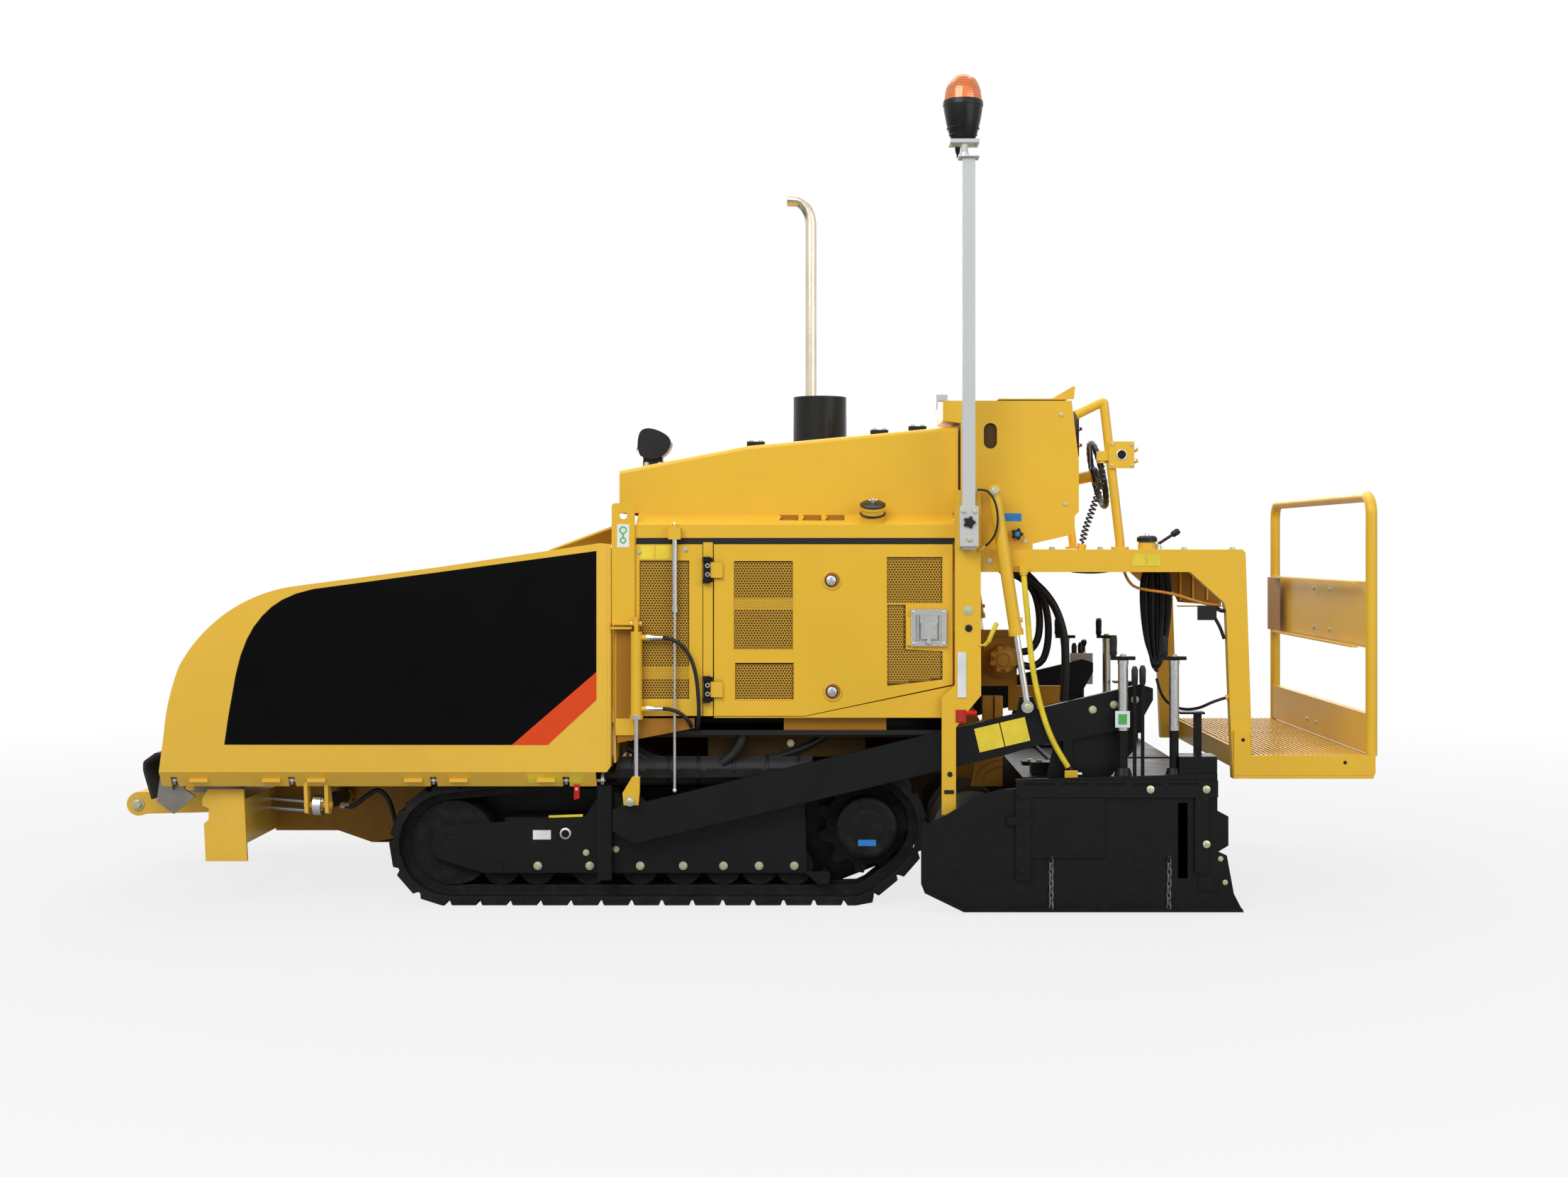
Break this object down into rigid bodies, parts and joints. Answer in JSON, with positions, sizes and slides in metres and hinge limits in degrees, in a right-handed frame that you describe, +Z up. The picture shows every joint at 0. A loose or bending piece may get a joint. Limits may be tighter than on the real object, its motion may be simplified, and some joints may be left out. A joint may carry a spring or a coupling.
{
  "type": "asphalt paver",
  "caption": "Compact tracked asphalt paver with a folding hopper at the front, operator's console and deck, and a towed extending screed with end gates at the back.",
  "frame": {"origin": "on the ground at the middle of the machine's length and width", "axes": "+X towards the rear with the screed, +Y towards the machine's right side, +Z up"},
  "size_m": [4.284, 1.59, 2.7694],
  "materials": {
    "body_yellow": "semi-gloss yellow paint",
    "hopper_yellow": "semi-gloss yellow paint, dusty",
    "body_brown": "shaded yellow-brown paint",
    "frame_black": "satin black paint",
    "screed_black": "satin black paint, worn at edges",
    "hood_black": "semi-gloss black paint",
    "mast_grey": "light grey paint",
    "track_steel": "worn steel shoes",
    "running_gear": "cast rollers and drive",
    "roller_steel": "bare worn steel",
    "hopper_steel": "bare worn steel plate",
    "auger_steel": "worn cast flights",
    "engine_iron": "plain block",
    "chrome_rod": "polished rod",
    "exhaust_chrome": "polished pipe, heat tinted",
    "apron_rubber": "black rubber sheet",
    "hose_rubber": "black hydraulic hose",
    "cable_black": "black cable jacket",
    "sleeve_yellow": "yellow corrugated sleeve",
    "wheel_plastic": "black soft-touch rim",
    "beacon_orange": "orange lens on a black base",
    "lamp_black": "black lamp and horn housings"
  },
  "bodies": {
    "tractor": {"track_left": "track_steel", "track_right": "track_steel", "track_rollers": "running_gear", "track_frames": "frame_black", "final_drives": "running_gear", "main_frame": "body_brown", "front_beam": "hopper_yellow", "hopper_floor": "hopper_steel", "hopper_bulkhead": "hopper_yellow", "front_apron": "apron_rubber", "conveyor": "roller_steel", "auger_case": "body_brown", "conveyor_motor": "body_brown", "body_shell": "body_yellow", "mesh_panels": "body_yellow", "hood": "body_yellow", "engine_block": "engine_iron", "rear_posts": "body_yellow", "deck": "body_yellow", "cable_hank": "cable_black", "hank_lead": "cable_black", "curly_cord": "cable_black", "sleeve_hose": "sleeve_yellow", "mast_cable": "cable_black", "hydraulic_hose_inner": "hose_rubber", "hydraulic_hose_outer": "hose_rubber", "platform": "body_yellow", "guard_rail": "body_yellow", "console": "body_yellow", "handrails": "body_yellow", "muffler_shroud": "hood_black", "exhaust_pipe": "exhaust_chrome", "tow_cylinders": "body_yellow", "lifting_plates": "body_yellow", "lamps": "lamp_black"},
    "push_roller_left": {"push_roller_left": "hopper_yellow"},
    "push_roller_right": {"push_roller_right": "hopper_yellow"},
    "wing_left": {"wing_left": "hopper_yellow"},
    "wing_right": {"wing_right": "hopper_yellow"},
    "wing_barrel_left": {"wing_barrel_left": "frame_black"},
    "wing_barrel_right": {"wing_barrel_right": "frame_black"},
    "wing_rod_left": {"wing_rod_left": "chrome_rod"},
    "wing_rod_right": {"wing_rod_right": "chrome_rod"},
    "door_left": {"door_left": "body_yellow"},
    "door_right": {"door_right": "body_yellow"},
    "mast": {"mast": "mast_grey", "beacon": "beacon_orange"},
    "steering_wheel": {"steering_wheel": "wheel_plastic"},
    "auger_left": {"auger_left": "auger_steel"},
    "auger_right": {"auger_right": "auger_steel"},
    "screed": {"tow_arms": "frame_black", "screed": "screed_black"},
    "extension_left": {"extension_left": "screed_black", "end_gate_left": "screed_black"},
    "extension_right": {"extension_right": "screed_black", "end_gate_right": "screed_black"},
    "lift_barrel_left": {"lift_barrel_left": "body_yellow"},
    "lift_barrel_right": {"lift_barrel_right": "body_yellow"},
    "lift_rod_left": {"lift_rod_left": "chrome_rod"},
    "lift_rod_right": {"lift_rod_right": "chrome_rod"}
  },
  "joints": [
    {"name": "push_roller_left_spin", "type": "hinge", "parent": "tractor", "child": "push_roller_left", "pos_m": [-2.1, -0.195, 0.296], "axis": [0, 1, 0], "continuous": true},
    {"name": "wing_left_fold", "type": "hinge", "parent": "tractor", "child": "wing_left", "pos_m": [-1.15, -0.682, 0.42], "axis": [1, 0, 0], "range_deg": [0, 60]},
    {"name": "wing_barrel_left_swing", "type": "hinge", "parent": "tractor", "child": "wing_barrel_left", "pos_m": [-1.387, -0.3, 0.32], "axis": [1, 0, 0], "range_deg": [-16, 0]},
    {"name": "wing_rod_left_slide", "type": "slide", "parent": "wing_barrel_left", "child": "wing_rod_left", "axis": [0, -0.9991, 0.0426], "range_m": [-0.062, 0]},
    {"name": "door_left_swing", "type": "hinge", "parent": "tractor", "child": "door_left", "pos_m": [-0.084, -0.712, 0.92], "axis": [0, 0, -1], "range_deg": [0, 110]},
    {"name": "auger_left_spin", "type": "hinge", "parent": "tractor", "child": "auger_left", "pos_m": [0.8, -0.35, 0.232], "axis": [0, 1, 0], "continuous": true},
    {"name": "extension_left_slide", "type": "slide", "parent": "screed", "child": "extension_left", "axis": [0, -1, 0], "range_m": [0, 0.4]},
    {"name": "lift_barrel_left_swing", "type": "hinge", "parent": "tractor", "child": "lift_barrel_left", "pos_m": [0.862, -0.726, 1.381], "axis": [0, -1, 0], "range_deg": [-2.2, 0]},
    {"name": "lift_rod_left_slide", "type": "slide", "parent": "lift_barrel_left", "child": "lift_rod_left", "axis": [0.1513, 0, -0.9885], "range_m": [-0.145, 0]},
    {"name": "push_roller_right_spin", "type": "hinge", "parent": "tractor", "child": "push_roller_right", "pos_m": [-2.1, 0.195, 0.296], "axis": [0, 1, 0], "continuous": true},
    {"name": "wing_right_fold", "type": "hinge", "parent": "tractor", "child": "wing_right", "pos_m": [-1.15, 0.682, 0.42], "axis": [-1, 0, 0], "range_deg": [0, 60]},
    {"name": "wing_barrel_right_swing", "type": "hinge", "parent": "tractor", "child": "wing_barrel_right", "pos_m": [-1.387, 0.3, 0.32], "axis": [-1, 0, 0], "range_deg": [-16, 0]},
    {"name": "wing_rod_right_slide", "type": "slide", "parent": "wing_barrel_right", "child": "wing_rod_right", "axis": [0, 0.9991, 0.0426], "range_m": [-0.062, 0]},
    {"name": "door_right_swing", "type": "hinge", "parent": "tractor", "child": "door_right", "pos_m": [-0.084, 0.712, 0.92], "axis": [0, 0, 1], "range_deg": [0, 110]},
    {"name": "auger_right_spin", "type": "hinge", "parent": "tractor", "child": "auger_right", "pos_m": [0.8, 0.35, 0.232], "axis": [0, 1, 0], "continuous": true},
    {"name": "extension_right_slide", "type": "slide", "parent": "screed", "child": "extension_right", "axis": [0, 1, 0], "range_m": [0, 0.4]},
    {"name": "lift_barrel_right_swing", "type": "hinge", "parent": "tractor", "child": "lift_barrel_right", "pos_m": [0.862, 0.726, 1.381], "axis": [0, -1, 0], "range_deg": [-2.2, 0]},
    {"name": "lift_rod_right_slide", "type": "slide", "parent": "lift_barrel_right", "child": "lift_rod_right", "axis": [0.1513, 0, -0.9885], "range_m": [-0.145, 0]},
    {"name": "screed_lift", "type": "hinge", "parent": "tractor", "child": "screed", "pos_m": [-0.338, 0, 0.359], "axis": [0, -1, 0], "range_deg": [0, 6], "deforming": ["sleeve_hose"]},
    {"name": "mast_slide", "type": "slide", "parent": "tractor", "child": "mast", "axis": [0, 0, -1], "range_m": [0, 0.3], "deforming": ["mast_cable"]},
    {"name": "steering_spin", "type": "hinge", "parent": "tractor", "child": "steering_wheel", "pos_m": [1.251, -0.4, 1.447], "axis": [0.9767, 0, 0.2147], "range_deg": [-135, 135]}
  ],
  "couplings": [
    {"joint": "wing_barrel_left_swing", "follows": "wing_left_fold", "ratio": -0.204},
    {"joint": "wing_rod_left_slide", "follows": "wing_left_fold", "m_per_rad": -0.053},
    {"joint": "lift_barrel_left_swing", "follows": "screed_lift", "ratio": -0.276},
    {"joint": "lift_rod_left_slide", "follows": "screed_lift", "m_per_rad": -1.334},
    {"joint": "wing_barrel_right_swing", "follows": "wing_right_fold", "ratio": -0.204},
    {"joint": "wing_rod_right_slide", "follows": "wing_right_fold", "m_per_rad": -0.053},
    {"joint": "lift_barrel_right_swing", "follows": "screed_lift", "ratio": -0.276},
    {"joint": "lift_rod_right_slide", "follows": "screed_lift", "m_per_rad": -1.334}
  ]
}
